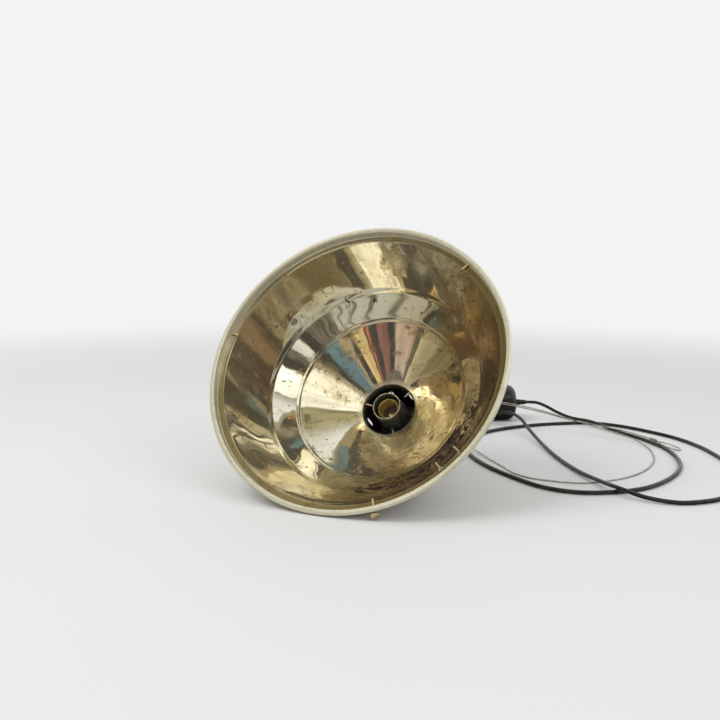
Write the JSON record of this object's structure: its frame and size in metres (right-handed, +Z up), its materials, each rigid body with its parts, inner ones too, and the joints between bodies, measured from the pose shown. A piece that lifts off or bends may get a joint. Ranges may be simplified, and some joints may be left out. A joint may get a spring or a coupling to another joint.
{
  "type": "pendant lamp",
  "caption": "Pendant lamp with a deep stepped reflector, screw-cap lampholder, black rear housing, cable, steel suspension wire and ceiling canopy, lying on its side.",
  "frame": {"origin": "on the table, at the middle of the box round the lamp without its cords and what is on them", "axes": "+Z up, +X to the right as seen from the mouth of the bowl, +Y towards the rear housing and the cords"},
  "size_m": [0.6725, 0.6551, 0.3362],
  "materials": {
    "mirror_sheet": "mirror polish, warm nickel tone, aged with fine scratches, rust-coloured pits and hazy drips",
    "steel": "bright drawn steel",
    "nickel": "worn nickel plate",
    "brass": "aged brass",
    "black_enamel": "smooth black enamel",
    "gunmetal": "dark grey burnished metal",
    "insulator": "brown moulded insulator",
    "black_plastic": "satin black moulding",
    "white_plastic": "off-white moulding",
    "cable_sheath": "black sheath with a soft shine",
    "wire_rope": "fine stranded steel wire"
  },
  "bodies": {
    "shade": {"canopy_cup": "black_enamel", "canopy_grip": "black_plastic", "canopy_relief": "black_plastic", "cap_screw_1": "nickel", "cap_screw_2": "nickel", "cap_screw_3": "nickel", "ceiling_bracket": "steel", "centre_contact": "brass", "cord_grip": "black_plastic", "end_ferrule": "steel", "end_loop": "wire_rope", "hanger_plate": "steel", "inner_nut": "steel", "insulator": "insulator", "lamp_ferrule": "steel", "lamp_loop": "wire_rope", "lampholder_cap": "gunmetal", "lampholder_ring": "steel", "lampholder_shell": "gunmetal", "neck_collar": "black_enamel", "nipple": "steel", "outer_nut": "steel", "power_cable": "cable_sheath", "rear_cap": "black_enamel", "reflector": "mirror_sheet", "rim_bush_1": "nickel", "rim_bush_2": "nickel", "rim_bush_3": "nickel", "rim_wire": "steel", "screw_sleeve": "brass", "steel_wire": "wire_rope", "strain_relief": "black_plastic", "terminal_1": "brass", "terminal_2": "brass", "terminal_block": "white_plastic"},
    "rim_screw_1": {"rim_screw_1": "brass"},
    "neck_screw_1": {"neck_screw_1": "nickel"},
    "rim_screw_2": {"rim_screw_2": "brass"},
    "neck_screw_2": {"neck_screw_2": "nickel"},
    "rim_screw_3": {"rim_screw_3": "brass"},
    "neck_screw_3": {"neck_screw_3": "nickel"},
    "canopy_screw_1": {"canopy_screw_1": "nickel"},
    "canopy_screw_2": {"canopy_screw_2": "nickel"}
  },
  "joints": [
    {"name": "rim_screw_1_travel", "type": "slide", "parent": "shade", "child": "rim_screw_1", "axis": [0.6428, 0.4215, 0.6396], "range_m": [-0.0012, 0.009]},
    {"name": "neck_screw_1_travel", "type": "slide", "parent": "shade", "child": "neck_screw_1", "axis": [0.6428, 0.4215, 0.6396], "range_m": [-0.0018, 0.009]},
    {"name": "rim_screw_2_travel", "type": "slide", "parent": "shade", "child": "rim_screw_2", "axis": [0.342, -0.5171, -0.7846], "range_m": [-0.0012, 0.009]},
    {"name": "neck_screw_2_travel", "type": "slide", "parent": "shade", "child": "neck_screw_2", "axis": [0.342, -0.5171, -0.7846], "range_m": [-0.0018, 0.009]},
    {"name": "rim_screw_3_travel", "type": "slide", "parent": "shade", "child": "rim_screw_3", "axis": [-0.9848, 0.0956, 0.145], "range_m": [-0.0012, 0.009]},
    {"name": "neck_screw_3_travel", "type": "slide", "parent": "shade", "child": "neck_screw_3", "axis": [-0.9848, 0.0956, 0.145], "range_m": [-0.0018, 0.009]},
    {"name": "canopy_screw_1_travel", "type": "slide", "parent": "shade", "child": "canopy_screw_1", "axis": [-0.3827, 0.9239, 0], "range_m": [0, 0.006]},
    {"name": "canopy_screw_2_travel", "type": "slide", "parent": "shade", "child": "canopy_screw_2", "axis": [0.3827, -0.9239, 0], "range_m": [0, 0.006]}
  ]
}
